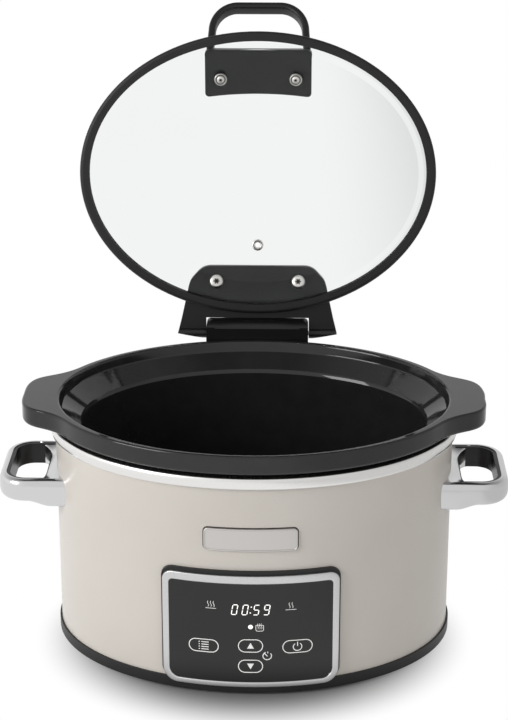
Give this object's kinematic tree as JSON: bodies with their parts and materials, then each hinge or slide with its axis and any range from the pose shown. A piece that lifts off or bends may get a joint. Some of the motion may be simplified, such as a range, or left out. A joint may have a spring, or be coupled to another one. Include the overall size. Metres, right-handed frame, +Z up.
{
  "type": "slow cooker",
  "caption": "Oval countertop slow cooker: a painted housing with side handles and a key panel, a lift-out stoneware crock and a glass lid on a rear hinge.",
  "frame": {"origin": "on the table plane under the middle of the oval housing, 2 mm below the flat underside", "axes": "+Z up; +X to the right seen from the front; -Y out of the control panel, +Y towards the hinge"},
  "size_m": [0.3586, 0.3118, 0.4181],
  "materials": {
    "base_plastic": "satin dark grey",
    "foot_rubber": "matte black",
    "seal_silicone": "soft satin",
    "screw_steel": "plain zinc",
    "housing_paint": "satin mushroom paint",
    "collar_steel": "satin",
    "well_metal": "dull",
    "heater_mica": "matte",
    "black_plastic": "satin black",
    "circuit_board": "green lacquer",
    "component_plastic": "moulded",
    "display_light": "lit white print",
    "transformer_core": "lacquered laminations",
    "cable_jacket": "matte",
    "bezel_silver": "silver gloss",
    "fascia_black": "smoked gloss",
    "badge_metal": "satin, blank",
    "stoneware_glaze": "black gloss glaze",
    "lid_glass": "clear tempered",
    "handle_chrome": "satin chrome"
  },
  "bodies": {
    "base": {"base_tray": "base_plastic", "rubber_feet": "foot_rubber", "base_screws": "screw_steel", "well_standoffs": "screw_steel", "housing_shell": "housing_paint", "top_collar": "collar_steel", "heating_well": "well_metal", "heater_band": "heater_mica", "heater_straps": "screw_steel", "temperature_sensor": "component_plastic", "thermal_fuse": "component_plastic", "heater_leads": "cable_jacket", "power_board": "circuit_board", "power_board_screws": "screw_steel", "transformer": "transformer_core", "relay": "component_plastic", "capacitor": "component_plastic", "control_board": "circuit_board", "control_board_screws": "screw_steel", "display_module": "display_light", "key_switches": "component_plastic", "ribbon_cable": "cable_jacket", "panel_surround": "black_plastic", "panel_bezel": "bezel_silver", "panel_fascia": "fascia_black", "badge_plate": "badge_metal", "left_handle_shell": "handle_chrome", "left_handle_liner": "black_plastic", "right_handle_shell": "handle_chrome", "right_handle_liner": "black_plastic", "handle_screws": "screw_steel", "cord_gland": "black_plastic", "hinge_post": "black_plastic", "hinge_post_screws": "screw_steel", "hinge_pin": "screw_steel"},
    "crock": {"crock": "stoneware_glaze"},
    "lid": {"lid_glass": "lid_glass", "lid_seal": "seal_silicone", "lid_handle": "black_plastic", "lid_handle_screws": "screw_steel", "lid_handle_washers": "screw_steel", "lid_bracket": "black_plastic", "bracket_screws": "screw_steel", "steam_vent": "screw_steel"},
    "menu_key": {"menu_key": "fascia_black"},
    "up_key": {"up_key": "fascia_black"},
    "down_key": {"down_key": "fascia_black"},
    "power_key": {"power_key": "fascia_black"}
  },
  "joints": [
    {"name": "lid_hinge", "type": "hinge", "parent": "base", "child": "lid", "pos_m": [0, 0.1222, 0.1797], "axis": [-1, 0, 0], "range_deg": [-99, 0]},
    {"name": "crock_lift", "type": "slide", "parent": "base", "child": "crock", "axis": [0, 0, 1], "range_m": [0, 0.14]},
    {"name": "menu_key_press", "type": "slide", "parent": "base", "child": "menu_key", "axis": [0, 1, 0], "range_m": [0, 0.0006], "stiffness_N_per_m": 400},
    {"name": "up_key_press", "type": "slide", "parent": "base", "child": "up_key", "axis": [0, 1, 0], "range_m": [0, 0.0006], "stiffness_N_per_m": 400},
    {"name": "down_key_press", "type": "slide", "parent": "base", "child": "down_key", "axis": [0, 1, 0], "range_m": [0, 0.0006], "stiffness_N_per_m": 400},
    {"name": "power_key_press", "type": "slide", "parent": "base", "child": "power_key", "axis": [0, 1, 0], "range_m": [0, 0.0006], "stiffness_N_per_m": 400}
  ]
}
